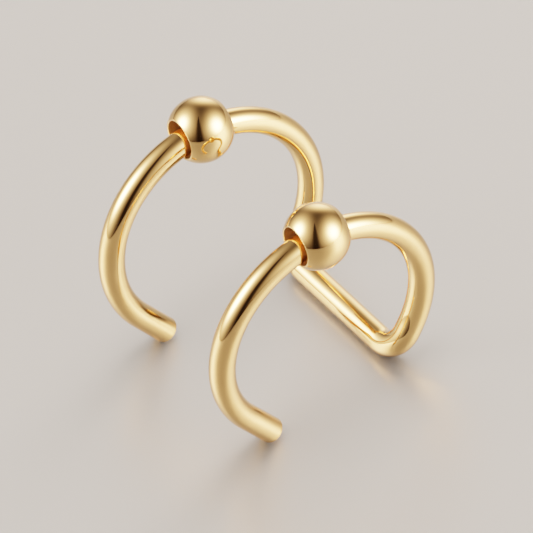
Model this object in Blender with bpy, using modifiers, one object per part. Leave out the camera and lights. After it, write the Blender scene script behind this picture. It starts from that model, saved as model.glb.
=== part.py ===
"""Clip-on lip ring: two open wire hoops side by side, joined by a bar, with a drilled ball bead on each.

Metres, +Z up. X runs across the hoops towards the bar, and Y along the bar. The ring stands on the bar and on
both free ends at Z = 0, with the origin under the middle of its box.
"""

import math

import bmesh
import bpy
import numpy as np
from mathutils import Vector

# Wire
WIRE_RADIUS = 0.0006
END_ROUNDING = 0.00012

# Hoops
HOOP_HALF_WIDTH = 0.00527
HOOP_HALF_HEIGHT = 0.00512
HOOP_SPACING = 0.00852
HOOP_LEAN = math.radians(2.0)
FREE_END_ANGLE = math.radians(213.7)
BAR_END_ANGLE = math.radians(-34.5)
BAR_END_STRAIGHT = 0.00028
ELBOW_RADIUS = 0.00131

# Beads
BORE_CLEARANCE = 0.0003
BEAD_WALL = 0.0006
LIP_ROUNDING = 0.00006
LIP_CLEARANCE = 0.00004
BEAD_ANGLE = math.radians(85.9)
BORE_RADIUS = WIRE_RADIUS + BORE_CLEARANCE
BEAD_RADIUS = BORE_RADIUS + BEAD_WALL

# Smoothness
WIRE_BEVEL_RESOLUTION = 6
HOOP_STEP = math.radians(6.0)
ELBOW_STEPS = 10
ROUNDING_STEPS = 3
BEAD_STEPS = 32
BEAD_ARC_STEPS = 18
WELD = 0.000001

# Colours
GOLD = (0.80, 0.58, 0.27, 1.0)
GOLD_ROUGHNESS = 0.12


def clear_scene():
    """Removes every object, so that the model stands alone."""
    for old in list(bpy.data.objects):
        bpy.data.objects.remove(old, do_unlink=True)


def gold(name):
    """Polished yellow metal for one piece."""
    material = bpy.data.materials.new(name)
    material.use_nodes = True
    shader = material.node_tree.nodes["Principled BSDF"]
    shader.inputs["Base Color"].default_value = GOLD
    shader.inputs["Metallic"].default_value = 1.0
    shader.inputs["Roughness"].default_value = GOLD_ROUGHNESS
    material.diffuse_color = GOLD
    return material


def hoop_point(angle, outset=0.0):
    """Point at an angle round the hoop, in the hoop's own plane: across, then up from its centre."""
    across = (HOOP_HALF_WIDTH + outset) * math.cos(angle)
    up = (HOOP_HALF_HEIGHT + outset) * math.sin(angle)
    return np.array([across, up])


def hoop_tangent(angle):
    """Unit direction of the hoop at an angle, from the free end towards the bar."""
    run = np.array([HOOP_HALF_WIDTH * math.sin(angle), -HOOP_HALF_HEIGHT * math.cos(angle)])
    return run / np.linalg.norm(run)


def leaned(side, across, up):
    """Direction in space of one in the plane of the hoop on that side, whose top leans outwards."""
    return np.array([across, side * up * math.sin(HOOP_LEAN), up * math.cos(HOOP_LEAN)])


def elbow_start(side):
    """Where the hoop ends and its elbow starts, before the model is lifted onto Z = 0."""
    across, up = hoop_point(BAR_END_ANGLE) + BAR_END_STRAIGHT * hoop_tangent(BAR_END_ANGLE)
    return np.array([across, side * HOOP_SPACING / 2, up])


def in_space(side, flat):
    """Point in space of one in the hoop's plane, which leans about the height of its elbow's start."""
    start = elbow_start(side)
    return start + leaned(side, flat[0] - start[0], flat[1] - start[2])


def elbow(side):
    """Arc that turns the wire from the hoop's last direction onto the bar, parallel to Y."""
    run = leaned(side, *hoop_tangent(BAR_END_ANGLE))
    along = np.array([0.0, -side, 0.0])
    inward = along - (along @ run) * run
    inward /= np.linalg.norm(inward)
    turns = np.linspace(0.0, math.acos(along @ run), ELBOW_STEPS + 1)[:, None]
    return elbow_start(side) + ELBOW_RADIUS * ((1 - np.cos(turns)) * inward + np.sin(turns) * run)


def floor_height():
    """Height of the bar's underside, which the ring stands on."""
    return elbow(-1)[-1][2] - WIRE_RADIUS


def free_length(side):
    """Length of the straight free end, whose rounded edge comes down to the height of the bar's underside."""
    leave = in_space(side, hoop_point(FREE_END_ANGLE))
    drop = -leaned(side, *hoop_tangent(FREE_END_ANGLE))
    edge = END_ROUNDING * drop[2] + (WIRE_RADIUS - END_ROUNDING) * math.sqrt(1 - drop[2] ** 2) + END_ROUNDING
    return (floor_height() - leave[2] + edge) / drop[2]


def half_path(side):
    """Wire centreline from the free end to the bar, with the share of the wire's radius at each point."""
    leave = in_space(side, hoop_point(FREE_END_ANGLE))
    drop = -leaned(side, *hoop_tangent(FREE_END_ANGLE))
    turns = np.linspace(0.0, math.pi / 2, ROUNDING_STEPS + 1)
    back = END_ROUNDING * (1 - np.cos(turns))
    tip = [leave + (free_length(side) - step) * drop for step in back]
    shares = list((WIRE_RADIUS - END_ROUNDING * (1 - np.sin(turns))) / WIRE_RADIUS)
    count = round((FREE_END_ANGLE - BAR_END_ANGLE) / HOOP_STEP)
    arc = [in_space(side, hoop_point(a)) for a in np.linspace(FREE_END_ANGLE, BAR_END_ANGLE, count + 1)]
    bend = list(elbow(side))
    points = tip + arc + bend
    return points, shares + [1.0] * (len(arc) + len(bend))


def make_wire(collection, lift):
    """The whole wire: front hoop, elbow, bar, elbow and back hoop."""
    front, front_shares = half_path(-1)
    back, back_shares = half_path(1)
    points = front + back[::-1]
    shares = front_shares + back_shares[::-1]
    curve = bpy.data.curves.new("hoop_wire", "CURVE")
    curve.dimensions = "3D"
    curve.bevel_depth = WIRE_RADIUS
    curve.bevel_resolution = WIRE_BEVEL_RESOLUTION
    curve.use_fill_caps = True
    spline = curve.splines.new("POLY")
    spline.points.add(len(points) - 1)
    for target, point, share in zip(spline.points, points, shares):
        target.co = (*point, 1.0)
        target.radius = share
    spline.use_smooth = True
    curve.materials.append(gold("wire_gold"))
    wire = bpy.data.objects.new("hoop_wire", curve)
    wire.location = (0.0, 0.0, lift)
    collection.objects.link(wire)
    return wire


def bead_profile():
    """Half section of a drilled ball at +X: top lip, outer arc and bottom lip, from the bore and back to it."""
    lip_x = BORE_RADIUS + LIP_ROUNDING
    lip_z = math.sqrt((BEAD_RADIUS - LIP_ROUNDING) ** 2 - lip_x ** 2)
    lip_angle = math.atan2(lip_x, lip_z)
    top = [
        (lip_x + LIP_ROUNDING * math.sin(a), lip_z + LIP_ROUNDING * math.cos(a))
        for a in np.linspace(-math.pi / 2, lip_angle, ROUNDING_STEPS + 1)
    ]
    arc = [
        (BEAD_RADIUS * math.sin(a), BEAD_RADIUS * math.cos(a))
        for a in np.linspace(lip_angle, math.pi - lip_angle, BEAD_ARC_STEPS + 1)[1:-1]
    ]
    bottom = [(x, -z) for x, z in reversed(top)]
    return top + arc + bottom


def bead_outset():
    """How far the bead's centre lies outside the wire's centreline.

    The bore is straight and the wire is bent, so the wire nears the bore's inner wall at both mouths,
    where it stops short of the wall by the lip clearance.
    """
    half_bore = math.sqrt(BEAD_RADIUS ** 2 - BORE_RADIUS ** 2)
    across = HOOP_HALF_WIDTH * math.sin(BEAD_ANGLE)
    up = HOOP_HALF_HEIGHT * math.cos(BEAD_ANGLE)
    bend = math.hypot(across, up) ** 3 / (HOOP_HALF_WIDTH * HOOP_HALF_HEIGHT)
    sag = bend - math.sqrt(bend ** 2 - half_bore ** 2)
    return BORE_CLEARANCE - LIP_CLEARANCE - sag


def make_bead(name, side, collection, lift):
    """A drilled ball bead, turned about the wire that passes through it."""
    mesh = bpy.data.meshes.new(name)
    form = bmesh.new()
    ring = [form.verts.new((x, 0.0, z)) for x, z in bead_profile()]
    for first, second in zip(ring, ring[1:] + ring[:1]):
        form.edges.new((first, second))
    form.to_mesh(mesh)
    form.free()
    bead = bpy.data.objects.new(name, mesh)
    turning = bead.modifiers.new("turned", "SCREW")
    turning.axis = "Z"
    turning.steps = BEAD_STEPS
    turning.render_steps = BEAD_STEPS
    turning.use_smooth_shade = True
    turning.use_merge_vertices = True
    turning.merge_threshold = WELD
    mesh.materials.append(gold(name + "_gold"))
    centre = in_space(side, hoop_point(BEAD_ANGLE, bead_outset()))
    run = leaned(side, *hoop_tangent(BEAD_ANGLE))
    bead.location = centre + np.array([0.0, 0.0, lift])
    bead.rotation_mode = "QUATERNION"
    bead.rotation_quaternion = Vector(run).to_track_quat("Z", "Y")
    collection.objects.link(bead)
    return bead


def build():
    """Makes the wire and its beads in one collection."""
    clear_scene()
    collection = bpy.data.collections.new("clip_on_lip_ring")
    bpy.context.scene.collection.children.link(collection)
    lift = -floor_height()
    make_wire(collection, lift)
    make_bead("bead_front", -1, collection, lift)
    make_bead("bead_back", 1, collection, lift)


build()
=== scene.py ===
"""Clip-on lip ring in polished yellow gold, standing on a pale floor in soft studio light.

A wire bent into two open hoops joined by a bar, and a drilled ball bead on each hoop. Metres, +Z up, in the
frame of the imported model.
"""

import logging
import math
from dataclasses import dataclass, field
from enum import Enum

import bpy
import numpy as np
from mathutils import Matrix, Vector


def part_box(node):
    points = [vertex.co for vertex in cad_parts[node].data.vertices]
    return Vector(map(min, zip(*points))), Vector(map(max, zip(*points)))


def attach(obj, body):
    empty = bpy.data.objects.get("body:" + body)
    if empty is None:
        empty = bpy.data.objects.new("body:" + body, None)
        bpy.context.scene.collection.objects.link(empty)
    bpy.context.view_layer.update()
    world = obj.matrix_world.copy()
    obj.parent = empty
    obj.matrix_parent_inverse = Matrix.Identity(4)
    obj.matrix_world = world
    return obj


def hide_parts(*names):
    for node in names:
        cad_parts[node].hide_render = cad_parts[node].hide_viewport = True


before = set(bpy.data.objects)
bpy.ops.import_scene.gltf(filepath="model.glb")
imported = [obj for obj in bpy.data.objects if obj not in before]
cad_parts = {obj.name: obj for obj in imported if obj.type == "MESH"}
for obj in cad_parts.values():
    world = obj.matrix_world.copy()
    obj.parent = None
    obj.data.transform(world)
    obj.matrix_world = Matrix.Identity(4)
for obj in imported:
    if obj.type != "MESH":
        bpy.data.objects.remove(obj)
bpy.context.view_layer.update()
BODY = "root"
MM_PER_M = 1000.0
SAME_POINT = 1e-9
log = logging.getLogger("lip_ring")


class Side(Enum):
    """Which hoop: the front one lies at -Y and the back one at +Y."""

    FRONT = -1
    BACK = 1


def unit(v: np.ndarray) -> np.ndarray:
    """Each vector along the last axis, divided by its length."""
    return v / np.linalg.norm(v, axis=-1, keepdims=True)


def direction(azimuth: float, elevation: float) -> np.ndarray:
    """Unit vector of a direction.

    Args:
        azimuth: turn in radians from -Y towards +X.
        elevation: angle in radians above the level.

    Returns:
        The azimuth's sine and less its cosine, both times the elevation's cosine, and the elevation's sine.
    """
    level = math.cos(elevation)
    return np.array([math.sin(azimuth) * level, -math.cos(azimuth) * level, math.sin(elevation)])


# Meshes from arrays


@dataclass
class SurfaceGrid:
    """A surface as a grid of points, one row for each station and one column for each step round it."""

    points: np.ndarray
    closed_rows: bool = False
    marks: dict[str, np.ndarray] = field(default_factory=dict)

    def faces(self) -> np.ndarray:
        """Corner numbers of the quads.

        Returns:
            Four numbers for each quad between neighbouring rows and columns, wrapping round the columns.
        """
        rows, columns = self.points.shape[:2]
        number = np.arange(rows * columns).reshape(rows, columns)
        if self.closed_rows:
            number = np.vstack([number, number[:1]])
        ahead = np.roll(number, -1, axis=1)
        quads = [number[:-1], number[1:], ahead[1:], ahead[:-1]]
        return np.stack(quads, axis=-1).reshape(-1, 4)

    def fans(self) -> np.ndarray:
        """Corner numbers of the end triangles.

        Returns:
            Three numbers for each triangle that closes the first or last row onto its pole.
        """
        if self.closed_rows:
            return np.zeros((0, 3), int)
        rows, columns = self.points.shape[:2]
        first = np.arange(columns)
        last = first + (rows - 1) * columns
        poles = rows * columns + np.array([[0], [1]])
        near = np.stack([np.broadcast_to(poles[0], columns), first, np.roll(first, -1)], axis=-1)
        far = np.stack([np.broadcast_to(poles[1], columns), np.roll(last, -1), last], axis=-1)
        return np.vstack([near, far])

    def make(self, name: str) -> bpy.types.Object:
        """Puts the grid into a smooth mesh object at the origin.

        Args:
            name: the piece's name.

        Returns:
            The object, whose poles are the mean points of the first and last rows.
        """
        corners = self.points.reshape(-1, 3)
        if not self.closed_rows:
            corners = np.vstack([corners, self.points[0].mean(0), self.points[-1].mean(0)])
        quads, triangles = self.faces(), self.fans()
        if self.signed_volume(corners, quads) < 0:
            quads, triangles = quads[:, ::-1], triangles[:, ::-1]
        loops = np.concatenate([quads.ravel(), triangles.ravel()])
        totals = np.concatenate([np.full(len(quads), 4), np.full(len(triangles), 3)])
        starts = np.concatenate([[0], np.cumsum(totals)[:-1]])
        mesh = bpy.data.meshes.new(name)
        mesh.vertices.add(len(corners))
        mesh.vertices.foreach_set("co", corners.astype(np.float32).ravel())
        mesh.loops.add(len(loops))
        mesh.loops.foreach_set("vertex_index", loops.astype(np.int32))
        mesh.polygons.add(len(totals))
        mesh.polygons.foreach_set("loop_start", starts.astype(np.int32))
        mesh.polygons.foreach_set("use_smooth", np.ones(len(totals), bool))
        for mark, values in self.marks.items():
            self.write_mark(mesh, mark, values)
        mesh.update(calc_edges=True)
        mesh.validate()
        piece = bpy.data.objects.new(name, mesh)
        bpy.context.scene.collection.objects.link(piece)
        return piece

    @staticmethod
    def signed_volume(corners: np.ndarray, quads: np.ndarray) -> float:
        """Volume inside the quads.

        Args:
            corners: the points.
            quads: four corner numbers for each face.

        Returns:
            The sum of each face's middle dot its area, over 3, which is below zero where they face inwards.
        """
        a, b, c, d = (corners[quads[:, k]] for k in range(4))
        area = np.cross(c - a, d - b) / 2
        return float(((a + b + c + d) / 4 * area).sum() / 3)

    def write_mark(self, mesh: bpy.types.Mesh, mark: str, values: np.ndarray) -> None:
        """Stores a number or a vector for each point, with the end rows' means on the poles.

        Args:
            mesh: where it is stored.
            mark: the attribute's name.
            values: one number or vector for each point of the grid.
        """
        vector = values.ndim == 3
        flat = values.reshape(-1, values.shape[-1]) if vector else values.reshape(-1, 1)
        if not self.closed_rows:
            flat = np.vstack([flat, values[0].mean(0), values[-1].mean(0)])
        kind, key = ("FLOAT_VECTOR", "vector") if vector else ("FLOAT", "value")
        attribute = mesh.attributes.new(mark, kind, "POINT")
        attribute.data.foreach_set(key, flat.astype(np.float32).ravel())


# The ring's form


@dataclass
class BentWire:
    """The whole wire: front hoop, elbow, bar, elbow and back hoop, from one free end to the other.

    The fields from sides on say how fine its skin is: the steps round it, the distance between its rows and the
    fewest of them, and the rows over an end's rounding and over its flat face, which lie between two shares of
    that face's radius.
    """

    radius: float = 0.0006
    end_rounding: float = 0.00012
    half_width: float = 0.00527
    half_height: float = 0.00512
    spacing: float = 0.00852
    lean: float = math.radians(2.0)
    free_end_angle: float = math.radians(213.7)
    bar_end_angle: float = math.radians(-34.5)
    bar_end_straight: float = 0.00028
    elbow_radius: float = 0.00131
    sides: int = 72
    step: float = 0.00011
    fewest_rows: int = 3
    rounding_rows: int = 9
    face_rows: int = 6
    face_inside: float = 0.06
    face_outside: float = 0.94

    def hoop(self, angle: np.ndarray | float, outset: float = 0.0) -> np.ndarray:
        """Points of the hoop in its own plane.

        Args:
            angle: where on the hoop, in radians.
            outset: how far outside the wire's middle line.

        Returns:
            Half width times the angle's cosine across, and half height times its sine up, both with the outset.
        """
        across = (self.half_width + outset) * np.cos(angle)
        up = (self.half_height + outset) * np.sin(angle)
        return np.stack([across, up], axis=-1)

    def run(self, angle: np.ndarray | float) -> np.ndarray:
        """Unit tangents of the hoop in its own plane, from the free end towards the bar."""
        across, up = self.half_width * np.sin(angle), -self.half_height * np.cos(angle)
        return unit(np.stack([across, up], axis=-1))

    def leaned(self, side: Side, flat: np.ndarray) -> np.ndarray:
        """Directions in space of directions in the hoop's plane, whose top leans outwards."""
        across, up = flat[..., 0], flat[..., 1]
        return np.stack([across, side.value * up * math.sin(self.lean), up * math.cos(self.lean)], axis=-1)

    def elbow_start(self, side: Side) -> np.ndarray:
        """Where the hoop's short straight ends and the elbow starts, measured from the hoop's centre."""
        across, up = self.hoop(self.bar_end_angle) + self.bar_end_straight * self.run(self.bar_end_angle)
        return np.array([across, side.value * self.spacing / 2, up])

    def in_space(self, side: Side, flat: np.ndarray) -> np.ndarray:
        """Points in space of points in the hoop's plane, which leans about its elbow's start."""
        start = self.elbow_start(side)
        return start + self.leaned(side, flat - start[[0, 2]])

    def elbow(self, side: Side, turns: np.ndarray) -> np.ndarray:
        """Points of the arc that turns the wire from its hoop onto the bar.

        Args:
            side: which hoop.
            turns: shares of the arc, from 0 at the hoop to 1 at the bar.

        Returns:
            start + radius * ((1 - cos) * inward + sin * run), with inward square to the run.
        """
        run, inward, whole = self.elbow_frame(side)
        turn = turns[:, None] * whole
        bent = (1 - np.cos(turn)) * inward + np.sin(turn) * run
        return self.elbow_start(side) + self.elbow_radius * bent

    def elbow_frame(self, side: Side) -> tuple[np.ndarray, np.ndarray, float]:
        """What the elbow's arc is made from.

        Args:
            side: which hoop.

        Returns:
            The hoop's last direction, the elbow's inward normal and its whole turn, whose cosine is that
            direction dot the bar's.
        """
        run = self.leaned(side, self.run(self.bar_end_angle))
        along = np.array([0.0, -side.value, 0.0])
        inward = unit(along - (along @ run) * run)
        return run, inward, math.acos(along @ run)

    def lift(self) -> float:
        """Height of the hoops' centres over the floor, with the bar's underside on it."""
        return self.radius - self.elbow(Side.FRONT, np.array([1.0]))[0, 2]

    def free_length(self, side: Side) -> float:
        """Length of the straight free end.

        Args:
            side: which hoop.

        Returns:
            The length that brings the lowest point of the end's rounded edge down to the floor.
        """
        leave = self.in_space(side, self.hoop(self.free_end_angle))
        drop = -self.leaned(side, self.run(self.free_end_angle))
        disc = (self.radius - self.end_rounding) * math.sqrt(1 - drop[2] ** 2)
        return (-self.lift() - leave[2] + self.end_rounding * (1 + drop[2]) + disc) / drop[2]

    def free_end(self, side: Side) -> tuple[np.ndarray, np.ndarray]:
        """Middle line of the straight free end, from its flat face up to the hoop.

        Args:
            side: which hoop.

        Returns:
            The points, and the share of the wire's radius at each. On the rounding it is 1 less what a quarter
            circle takes off.
        """
        leave = self.in_space(side, self.hoop(self.free_end_angle))
        drop = -self.leaned(side, self.run(self.free_end_angle))
        length = self.free_length(side)
        turn = np.linspace(0.0, math.pi / 2, self.rounding_rows)
        back = self.end_rounding * (1 - np.cos(turn))
        edge = 1 - self.end_rounding * (1 - np.sin(turn)) / self.radius
        rest = np.linspace(self.end_rounding, length, self.count(length))[1:-1]
        face = np.linspace(self.face_inside, self.face_outside, self.face_rows) * edge[0]
        down = np.concatenate([np.zeros(len(face)), back, rest])
        share = np.concatenate([face, edge, np.ones(len(rest))])
        return leave + (length - down)[:, None] * drop, share

    def half(self, side: Side) -> tuple[np.ndarray, np.ndarray, np.ndarray]:
        """One half of the middle line, from the free end to the elbow's end.

        Args:
            side: which hoop.

        Returns:
            The points, a direction square to the wire at each, and the share of the wire's radius at each.
        """
        tip, share = self.free_end(side)
        arc_length = (self.free_end_angle - self.bar_end_angle) * self.half_width
        angles = np.linspace(self.free_end_angle, self.bar_end_angle, self.count(arc_length))
        arc = self.in_space(side, self.hoop(angles))
        tangents = self.run(angles)
        outward = self.leaned(side, np.stack([-tangents[:, 1], tangents[:, 0]], axis=-1))
        run, inward, whole = self.elbow_frame(side)
        bend = self.elbow(side, np.linspace(0.0, 1.0, self.count(self.elbow_radius * whole)))
        square = np.broadcast_to(unit(np.cross(inward, run)) * side.value, bend.shape)
        points = np.vstack([tip, arc, bend])
        across = np.vstack([np.broadcast_to(outward[0], tip.shape), outward, square])
        return points, across, np.concatenate([share, np.ones(len(arc) + len(bend))])

    def count(self, length: float) -> int:
        """Rows along a length, both ends included."""
        return max(self.fewest_rows, round(length / self.step) + 1)

    def surface(self) -> SurfaceGrid:
        """The wire's skin: a circle of the wire's radius carried along its middle line.

        Returns:
            A grid with the mark drawn_mm: the length along the wire, and the place in its round section.
        """
        front, front_across, front_share = self.half(Side.FRONT)
        back, back_across, back_share = self.half(Side.BACK)
        bar_length = np.linalg.norm(back[-1] - front[-1])
        along = np.linspace(0.0, 1.0, self.count(bar_length))[1:-1, None]
        bar = front[-1] * (1 - along) + back[-1] * along
        centres = np.vstack([front, bar, back[::-1]])
        across = np.vstack([front_across, np.broadcast_to(front_across[-1], bar.shape), back_across[::-1]])
        share = np.concatenate([front_share, np.ones(len(bar)), back_share[::-1]])
        steps = np.linalg.norm(np.diff(centres, axis=0), axis=1)
        far = np.concatenate([[0.0], np.cumsum(steps)])
        run = self.directions(centres)
        across = unit(across - (across * run).sum(-1, keepdims=True) * run)
        over = np.cross(run, across)
        turn = np.linspace(0.0, 2 * math.pi, self.sides, endpoint=False)
        reach = (self.radius * share)[:, None]
        side_way, over_way = reach * np.cos(turn), reach * np.sin(turn)
        skin = centres[:, None] + side_way[..., None] * across[:, None] + over_way[..., None] * over[:, None]
        skin[..., 2] += self.lift()
        drawn = np.stack([np.broadcast_to(far[:, None], side_way.shape), side_way, over_way], axis=-1)
        return SurfaceGrid(skin, marks={"drawn_mm": drawn * MM_PER_M})

    @staticmethod
    def directions(centres: np.ndarray) -> np.ndarray:
        """Unit directions along the middle line.

        Args:
            centres: its points, of which neighbours may share one place.

        Returns:
            At each point, the mean of the steps before and after it. A step without length counts as the next
            one that has some.
        """
        step = np.diff(centres, axis=0)
        moved = np.linalg.norm(step, axis=1) > SAME_POINT
        whole = np.flatnonzero(moved)
        nearest = whole[np.clip(np.searchsorted(whole, np.arange(len(step))), 0, len(whole) - 1)]
        ahead = unit(step[nearest])
        return unit(np.vstack([ahead[:1], ahead[:-1] + ahead[1:], ahead[-1:]]))


@dataclass
class DrilledBead:
    """A ball with a straight bore, which its hoop passes through.

    The fields from turns on say how fine its skin is.
    """

    wire: BentWire
    bore_clearance: float = 0.0003
    wall: float = 0.0006
    lip_rounding: float = 0.00006
    lip_clearance: float = 0.00004
    angle: float = math.radians(85.9)
    turns: int = 192
    arc_points: int = 120
    lip_points: int = 10
    bore_points: int = 24

    @property
    def bore(self) -> float:
        """The bore's radius."""
        return self.wire.radius + self.bore_clearance

    @property
    def radius(self) -> float:
        """The ball's radius."""
        return self.bore + self.wall

    def outset(self) -> float:
        """How far the bead's centre lies outside the hoop's middle line.

        Returns:
            What the two clearances leave, less how far the bent wire falls off over half the straight bore:
            bend - the root of (bend squared - half bore squared).
        """
        half_bore = math.sqrt(self.radius ** 2 - self.bore ** 2)
        across = self.wire.half_width * math.sin(self.angle)
        up = self.wire.half_height * math.cos(self.angle)
        bend = math.hypot(across, up) ** 3 / (self.wire.half_width * self.wire.half_height)
        sag = bend - math.sqrt(bend ** 2 - half_bore ** 2)
        return self.bore_clearance - self.lip_clearance - sag

    def profile(self) -> tuple[np.ndarray, np.ndarray]:
        """Half section of the bead, as a closed line of distances from the bore's axis and heights along it.

        Returns:
            The line: top lip, outer arc, bottom lip and bore wall; and a mark that is 1 inside the bore.
        """
        lip_x = self.bore + self.lip_rounding
        lip_z = math.sqrt((self.radius - self.lip_rounding) ** 2 - lip_x ** 2)
        lip_angle = math.atan2(lip_x, lip_z)
        turn = np.linspace(-math.pi / 2, lip_angle, self.lip_points)
        top = [lip_x, lip_z] + self.lip_rounding * np.stack([np.sin(turn), np.cos(turn)], axis=-1)
        round_turn = np.linspace(lip_angle, math.pi - lip_angle, self.arc_points)[1:-1]
        ball = self.radius * np.stack([np.sin(round_turn), np.cos(round_turn)], axis=-1)
        wall_z = np.linspace(-lip_z, lip_z, self.bore_points)[1:-1]
        wall = np.stack([np.full(len(wall_z), self.bore), wall_z], axis=-1)
        lip_mark = np.clip(-turn / (math.pi / 2), 0, 1)
        mark = np.concatenate([lip_mark, np.zeros(len(ball)), lip_mark[::-1], np.ones(len(wall))])
        return np.vstack([top, ball, top[::-1] * [1, -1], wall]), mark

    def surface(self, side: Side) -> SurfaceGrid:
        """The bead's skin: its half section turned about the bore's axis.

        Args:
            side: which hoop carries the bead.

        Returns:
            A grid with the mark bore, from 0 on the ball to 1 in the bore.
        """
        line, mark = self.profile()
        centre = self.wire.in_space(side, self.wire.hoop(self.angle, self.outset()))
        axis = self.wire.leaned(side, self.wire.run(self.angle))
        first = unit(np.cross(axis, [0.0, 1.0, 0.0]))
        second = np.cross(axis, first)
        turn = np.linspace(0.0, 2 * math.pi, self.turns, endpoint=False)
        spoke = np.cos(turn)[:, None] * first + np.sin(turn)[:, None] * second
        skin = centre + line[:, None, :1] * spoke + line[:, None, 1:] * axis
        skin[..., 2] += self.wire.lift()
        marks = {"bore": np.repeat(mark[:, None], self.turns, axis=1)}
        return SurfaceGrid(skin, closed_rows=True, marks=marks)


# Shader nodes as expressions


class Value:
    """A socket of a node tree, which adds its Math nodes when it is used in an expression."""

    def __init__(self, bench: "Bench", socket: bpy.types.NodeSocket | None) -> None:
        """Wraps one output socket of the bench's tree, or none for a node without outputs."""
        self.bench = bench
        self.socket = socket

    def math(self, operation: str, *others: "Value | float") -> "Value":
        """One Math node on this value and others, such as POWER."""
        return self.bench.math(operation, self, *others)

    def __add__(self, other: "Value | float") -> "Value":
        """This value plus another."""
        return self.math("ADD", other)

    __radd__ = __add__

    def __mul__(self, other: "Value | float") -> "Value":
        """This value times another."""
        return self.math("MULTIPLY", other)

    __rmul__ = __mul__

    def __sub__(self, other: "Value | float") -> "Value":
        """This value less another."""
        return self.math("SUBTRACT", other)

    def __rsub__(self, other: "Value | float") -> "Value":
        """Another value less this one."""
        return self.bench.math("SUBTRACT", other, self)


class Bench:
    """Makes the nodes of one material or world."""

    # The Mix node's colour sockets, by number because its sockets for plain numbers have the same names
    LOW, HIGH, MIXED = 6, 7, 2

    def __init__(self, tree: bpy.types.NodeTree) -> None:
        """Starts on a tree, whose old nodes are removed."""
        self.tree = tree
        tree.nodes.clear()

    def node(self, kind: str, settings: dict[str, object] | None = None,
             sockets: dict[str | int, object] | None = None, out: str | int = 0) -> Value:
        """Adds a node.

        Args:
            kind: the node's type.
            settings: its own settings, set before its sockets.
            sockets: values or links for its inputs, by name or number.
            out: the output that is handed back.

        Returns:
            That output, ready for expressions.
        """
        node = self.tree.nodes.new(kind)
        for name, setting in (settings or {}).items():
            setattr(node, name, setting)
        for name, content in (sockets or {}).items():
            if isinstance(content, Value):
                self.tree.links.new(content.socket, node.inputs[name])
            else:
                node.inputs[name].default_value = content
        return Value(self, node.outputs[out] if len(node.outputs) else None)

    def math(self, operation: str, *terms: Value | float) -> Value:
        """One Math node."""
        return self.node("ShaderNodeMath", {"operation": operation}, dict(enumerate(terms)))

    def vector(self, operation: str, sockets: dict[str | int, object], out: str | int = 0) -> Value:
        """One Vector Math node."""
        return self.node("ShaderNodeVectorMath", {"operation": operation}, sockets, out)

    def dot(self, way: Value, axis: np.ndarray) -> Value:
        """Dot product of a direction with a fixed axis."""
        return self.vector("DOT_PRODUCT", {0: way, 1: tuple(axis)}, out="Value")

    def stretched(self, place: Value, scale: tuple[float, float, float]) -> Value:
        """A place with each axis times its own scale."""
        return self.vector("MULTIPLY", {0: place, 1: scale})

    def blend(self, share: Value | float, low: object, high: object) -> Value:
        """A colour between two, by a share from 0 to 1."""
        sockets = {"Factor": share, self.LOW: low, self.HIGH: high}
        return self.node("ShaderNodeMix", {"data_type": "RGBA"}, sockets, out=self.MIXED)

    def noise(self, place: Value, detail: float, scale: float = 1.0) -> Value:
        """Soft noise from 0 to 1 over a place."""
        return self.node("ShaderNodeTexNoise", None, {"Vector": place, "Scale": scale, "Detail": detail})


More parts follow.
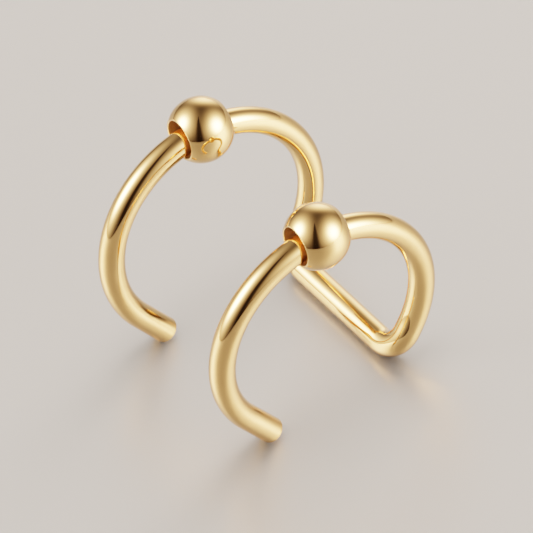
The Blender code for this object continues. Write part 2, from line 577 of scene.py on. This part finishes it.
@dataclass(frozen=True)
class Gold:
    """Polished yellow gold, with faint wear that the light picks out.

    Ripple and grain are heights in millimetres. The fields from wire_lines on are the patterns' scales per
    millimetre, for the wire along it and then twice across it. The last two are the noise's detail.
    """

    colour: tuple[float, float, float, float] = (0.78, 0.458, 0.181, 1.0)
    deep_colour: tuple[float, float, float, float] = (0.74, 0.424, 0.156, 1.0)
    bore_colour: tuple[float, float, float, float] = (0.72, 0.50, 0.29, 1.0)
    roughness: float = 0.05
    roughness_change: float = 0.05
    bore_roughness: float = 0.36
    ripple: float = 0.005
    bead_ripple: float = 0.0025
    grain: float = 0.0006
    wire_lines: tuple[float, float, float] = (0.35, 9.0, 9.0)
    wire_ripples: tuple[float, float, float] = (0.8, 1.3, 1.3)
    wire_clouds: tuple[float, float, float] = (0.9, 1.2, 1.2)
    bead_clouds: float = 0.9
    bead_marks: float = 14.0
    bead_ripples: float = 1.1
    rich: float = 3.0
    smooth: float = 1.0

    def on_wire(self, name: str) -> bpy.types.Material:
        """Gold for drawn wire: faint lines along its length, and slow ripples from bending.

        Args:
            name: the material's name.

        Returns:
            The material, whose patterns follow the mark drawn_mm.
        """
        material, bench = self.start(name)
        drawn = bench.node("ShaderNodeAttribute", {"attribute_name": "drawn_mm"}, out="Vector")
        lines = bench.noise(bench.stretched(drawn, self.wire_lines), self.rich)
        ripples = bench.noise(bench.stretched(drawn, self.wire_ripples), self.smooth)
        clouds = bench.noise(bench.stretched(drawn, self.wire_clouds), self.rich)
        height = ripples * self.ripple + lines * self.grain
        self.dress(bench, clouds, lines, height, None)
        return material

    def on_bead(self, name: str) -> bpy.types.Material:
        """Gold for a polished bead, with its bore left as drilled.

        Args:
            name: the material's name.

        Returns:
            The material, whose bore follows the mark bore.
        """
        material, bench = self.start(name)
        place = bench.node("ShaderNodeTexCoord", out="Object")
        place_mm = bench.stretched(place, (MM_PER_M, MM_PER_M, MM_PER_M))
        clouds = bench.noise(place_mm, self.rich, self.bead_clouds)
        fine = bench.noise(place_mm, self.rich, self.bead_marks)
        ripples = bench.noise(place_mm, self.smooth, self.bead_ripples)
        bore = bench.node("ShaderNodeAttribute", {"attribute_name": "bore"}, out="Fac")
        height = ripples * self.bead_ripple + fine * self.grain
        self.dress(bench, clouds, fine, height, bore)
        return material

    def start(self, name: str) -> tuple[bpy.types.Material, Bench]:
        """A new material of that name, and its bench."""
        material = bpy.data.materials.new(name)
        material.use_nodes = True
        material.diffuse_color = self.colour
        return material, Bench(material.node_tree)

    def dress(self, bench: Bench, clouds: Value, marks: Value, height: Value, bore: Value | None) -> None:
        """Joins the patterns to the shader.

        Args:
            bench: the material's bench.
            clouds: slow change of tone.
            marks: fine marks of working.
            height: relief in millimetres.
            bore: share that is inside a bore, if the piece has one.
        """
        tone = bench.blend(clouds, self.colour, self.deep_colour)
        rough = self.roughness + (clouds * marks) * self.roughness_change
        if bore is not None:
            tone = bench.blend(bore, tone, self.bore_colour)
            rough = rough + bore * (self.bore_roughness - self.roughness)
        relief = {"Strength": 1.0, "Distance": 1 / MM_PER_M, "Height": height}
        bump = bench.node("ShaderNodeBump", None, relief)
        sockets = {"Base Color": tone, "Metallic": 1.0, "Roughness": rough, "Normal": bump}
        shader = bench.node("ShaderNodeBsdfPrincipled", None, sockets)
        bench.node("ShaderNodeOutputMaterial", None, {"Surface": shader})


# The studio


@dataclass(frozen=True)
class Camera:
    """A long lens at the photograph's angle."""

    azimuth: float = math.radians(-27.14)
    elevation: float = math.radians(42.98)
    roll: float = math.radians(-10.19)
    distance: float = 0.400
    focal_pixels: float = 9101.0
    picture_pixels: float = 533.0
    sensor_mm: float = 36.0
    aside: tuple[float, float, float] = (0.0001, 0.0001, 0.00025)
    nearest: float = 0.01
    farthest: float = 20.0

    def make(self, hoop_height: float) -> None:
        """Places the camera.

        Args:
            hoop_height: height of the hoops' centres, close to which it is aimed.
        """
        data = bpy.data.cameras.new("camera")
        data.sensor_width = self.sensor_mm
        data.lens = self.focal_pixels / self.picture_pixels * self.sensor_mm
        data.clip_start, data.clip_end = self.nearest, self.farthest
        back = Vector(direction(self.azimuth, self.elevation))
        right = Vector((math.cos(self.azimuth), math.sin(self.azimuth), 0.0))
        up = back.cross(right)
        turned_right = right * math.cos(self.roll) + up * math.sin(self.roll)
        turned_up = up * math.cos(self.roll) - right * math.sin(self.roll)
        target = Vector(self.aside) + Vector((0.0, 0.0, hoop_height))
        camera = bpy.data.objects.new("camera", data)
        turn = Matrix((turned_right, turned_up, back)).transposed().to_4x4()
        camera.matrix_world = Matrix.Translation(target + back * self.distance) @ turn
        bpy.context.scene.collection.objects.link(camera)
        bpy.context.scene.camera = camera


@dataclass(frozen=True)
class Lamp:
    """A large soft light: a bright core in a wide skirt, both by direction, with angles in degrees.

    The skirt narrows sideways, or widens where narrowing is below zero.
    """

    azimuth: float
    elevation: float
    skirt: float
    skirt_spread: float
    narrowing: float
    core: float = 0.0
    core_spread: float = 10.0

    def glow(self, bench: Bench, way: Value, from_azimuth: float) -> Value:
        """Brightness by direction.

        Args:
            bench: the world's bench.
            way: the direction looked in.
            from_azimuth: the camera's azimuth in radians, from which the lamp's is counted.

        Returns:
            The core and the skirt, each its strength times e to (c - 1) / spread squared, where c is the cosine
            off the lamp's middle. The skirt's power is also less narrowing times the sideways sine squared.
        """
        azimuth = from_azimuth + math.radians(self.azimuth)
        off = bench.dot(way, direction(azimuth, math.radians(self.elevation))) - 1.0
        level = bench.dot(way, np.array([math.cos(azimuth), math.sin(azimuth), 0.0]))
        core = (off * (1 / math.radians(self.core_spread) ** 2)).math("EXPONENT") * self.core
        skirt = off * (1 / math.radians(self.skirt_spread) ** 2) - level * level * self.narrowing
        return core + skirt.math("EXPONENT") * self.skirt


@dataclass(frozen=True)
class Panel:
    """A soft oval panel that lights the floor only, with angles in degrees from the camera's azimuth.

    A sheen panel shows in the floor's sheen alone, and any other panel lights the floor without showing in it.
    """

    name: str
    azimuth: float
    elevation: float
    watts: float
    width: float
    height: float
    sheen: bool = False
    distance: float = 0.30

    def make(self, from_azimuth: float, tint: tuple[float, float, float], lit: bpy.types.Collection) -> None:
        """Places the panel, facing the ring and hidden from the camera.

        Args:
            from_azimuth: the camera's azimuth in radians.
            tint: the light's colour.
            lit: a collection that holds all that the panel lights.
        """
        data = bpy.data.lights.new(self.name, "AREA")
        data.shape = "ELLIPSE"
        data.size, data.size_y = self.width, self.height
        data.energy = self.watts
        data.color = tint
        way = Vector(direction(from_azimuth + math.radians(self.azimuth), math.radians(self.elevation)))
        lamp = bpy.data.objects.new(self.name, data)
        lamp.location = way * self.distance
        lamp.rotation_euler = way.to_track_quat("Z", "Y").to_euler()
        lamp.visible_glossy = self.sheen
        lamp.visible_diffuse = not self.sheen
        lamp.visible_camera = False
        lamp.light_linking.receiver_collection = lit
        bpy.context.scene.collection.objects.link(lamp)


@dataclass(frozen=True)
class Flag:
    """A dark upright strip between the lamps, behind the camera, with angles in degrees."""

    azimuth: float = -7.7
    inner: float = 5.0
    outer: float = 18.0
    left_over: float = 0.10

    def shade(self, bench: Bench, way: Value, from_azimuth: float) -> Value:
        """Share of the light that passes the strip.

        Args:
            bench: the world's bench.
            way: the direction looked in.
            from_azimuth: the camera's azimuth in radians, from which the strip's is counted.

        Returns:
            A smooth step from left_over within the inner angle of the strip's middle to 1 beyond the outer one.
        """
        azimuth = from_azimuth + math.radians(self.azimuth)
        ahead = bench.dot(way, direction(azimuth, 0.0))
        aside = bench.dot(way, np.array([math.cos(azimuth), math.sin(azimuth), 0.0]))
        off = aside.math("ARCTAN2", ahead).math("ABSOLUTE")
        sockets = {"Value": off, "From Min": math.radians(self.inner), "From Max": math.radians(self.outer),
                   "To Min": self.left_over, "To Max": 1.0}
        return bench.node("ShaderNodeMapRange", {"interpolation_type": "SMOOTHSTEP"}, sockets)


@dataclass
class Studio:
    """A pale floor among three large soft lamps, with a dark strip behind the camera.

    The lamps show in the gold and in the floor's sheen. The panels light the floor, whose shadows are theirs.
    """

    camera: Camera = field(default_factory=Camera)
    right: Lamp = Lamp(azimuth=67.9, elevation=21.6, skirt=7.3, skirt_spread=20.2, narrowing=-1.0,
                       core=52.0, core_spread=10.9)
    left: Lamp = Lamp(azimuth=-92.9, elevation=34.2, skirt=6.6, skirt_spread=20.1, narrowing=-1.0,
                      core=60.0, core_spread=9.6)
    back: Lamp = Lamp(azimuth=166.8, elevation=11.8, skirt=6.3, skirt_spread=14.9, narrowing=4.3)
    flag: Flag = Flag()
    panels: tuple[Panel, ...] = (
        Panel("key_panel", azimuth=138.0, elevation=52.0, watts=1.70, width=0.16, height=0.84),
        Panel("fill_panel", azimuth=-70.0, elevation=48.0, watts=0.54, width=0.30, height=0.76),
        Panel("back_sheen_panel", azimuth=178.0, elevation=44.0, watts=0.52, width=0.32, height=0.32,
              sheen=True),
        Panel("right_sheen_panel", azimuth=70.0, elevation=46.0, watts=3.6, width=0.36, height=0.36,
              sheen=True),
        Panel("left_sheen_panel", azimuth=-82.0, elevation=28.0, watts=0.9, width=0.28, height=0.28,
              sheen=True),
    )
    light_tint: tuple[float, float, float] = (1.0, 0.87, 0.75)
    surroundings: tuple[float, float, float] = (0.014, 0.007, 0.002)
    backdrop: tuple[float, float, float, float] = (1.12, 0.977, 0.857, 1.0)
    floor_colour: tuple[float, float, float, float] = (0.60, 0.60, 0.61, 1.0)
    floor_size: float = 4.0
    floor_roughness: float = 0.37
    floor_ior: float = 2.2

    def make_world(self) -> None:
        """The lamps as surroundings, and a plain pale backdrop where the camera looks past the floor."""
        world = bpy.data.worlds.new("studio")
        bpy.context.scene.world = world
        world.use_nodes = True
        world.cycles_visibility.diffuse = False
        bench = Bench(world.node_tree)
        way = bench.node("ShaderNodeTexCoord", out="Generated")
        right, left, back = (lamp.glow(bench, way, self.camera.azimuth)
                             for lamp in (self.right, self.left, self.back))
        light = (right + left + back) * self.flag.shade(bench, way, self.camera.azimuth)
        tinted = bench.vector("SCALE", {0: self.light_tint, "Scale": light})
        seen = bench.vector("ADD", {0: tinted, 1: self.surroundings})
        by_camera = bench.node("ShaderNodeLightPath", out="Is Camera Ray")
        colour = bench.blend(by_camera, seen, self.backdrop)
        shade = bench.node("ShaderNodeBackground", None, {"Color": colour, "Strength": 1.0})
        bench.node("ShaderNodeOutputWorld", None, {"Surface": shade})

    def make_floor(self) -> bpy.types.Object:
        """A large pale floor with a soft sheen.

        Returns:
            The floor, which belongs to the stage and not to the ring.
        """
        half = self.floor_size / 2
        mesh = bpy.data.meshes.new("floor")
        corners = [(-half, -half, 0.0), (half, -half, 0.0), (half, half, 0.0), (-half, half, 0.0)]
        mesh.from_pydata(corners, [], [(0, 1, 2, 3)])
        material = bpy.data.materials.new("floor_paper")
        material.use_nodes = True
        bench = Bench(material.node_tree)
        sockets = {"Base Color": self.floor_colour, "Roughness": self.floor_roughness, "IOR": self.floor_ior}
        shader = bench.node("ShaderNodeBsdfPrincipled", None, sockets)
        bench.node("ShaderNodeOutputMaterial", None, {"Surface": shader})
        mesh.materials.append(material)
        floor = bpy.data.objects.new("floor", mesh)
        bpy.context.scene.collection.objects.link(floor)
        return floor

    def make(self, hoop_height: float) -> None:
        """Sets up floor, light and camera.

        Args:
            hoop_height: height of the hoops' centres.
        """
        bpy.context.scene.view_settings.view_transform = "Filmic"
        bpy.context.scene.cycles.caustics_reflective = False
        self.make_world()
        lit = bpy.data.collections.new("lit_by_panels")
        lit.objects.link(self.make_floor())
        for panel in self.panels:
            panel.make(self.camera.azimuth, self.light_tint, lit)
        self.camera.make(hoop_height)


# The whole


@dataclass
class LipRing:
    """The wire and its two beads, in place of their plain solids."""

    wire: BentWire = field(default_factory=BentWire)
    gold: Gold = field(default_factory=Gold)

    def make_wire(self) -> None:
        """Builds and dresses the wire."""
        piece = self.wire.surface().make("gold_wire")
        piece.data.materials.append(self.gold.on_wire("gold_wire"))
        self.place(piece, "hoop_wire", "wire_gold")

    def make_bead(self, side: Side) -> None:
        """Builds and dresses the bead of one hoop.

        Args:
            side: which hoop.
        """
        name = "gold_bead_" + side.name.lower()
        piece = DrilledBead(self.wire).surface(side).make(name)
        piece.data.materials.append(self.gold.on_bead(name))
        self.place(piece, "bead_" + side.name.lower(), "bead_gold")

    @staticmethod
    def place(piece: bpy.types.Object, node: str, slot: str) -> None:
        """Lets a piece stand for a solid of the frame.

        Args:
            piece: the dressed piece.
            node: the solid that it stands for.
            slot: the name of its material slot, which is not used.
        """
        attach(piece, BODY)
        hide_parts(node)
        low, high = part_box(node)
        places = np.empty(len(piece.data.vertices) * 3, np.float32)
        piece.data.vertices.foreach_get("co", places)
        places = places.reshape(-1, 3)
        apart = max(np.abs(places.min(0) - low).max(), np.abs(places.max(0) - high).max()) * MM_PER_M
        log.info("%s: %d faces, boxes within %.3f mm", piece.name, len(piece.data.polygons), apart)


def main() -> None:
    """Builds the ring and its studio."""
    logging.basicConfig(level=logging.INFO, format="%(name)s: %(message)s")
    ring = LipRing()
    Studio().make(ring.wire.lift())
    ring.make_wire()
    for side in Side:
        ring.make_bead(side)


if __name__ == "__main__":
    main()
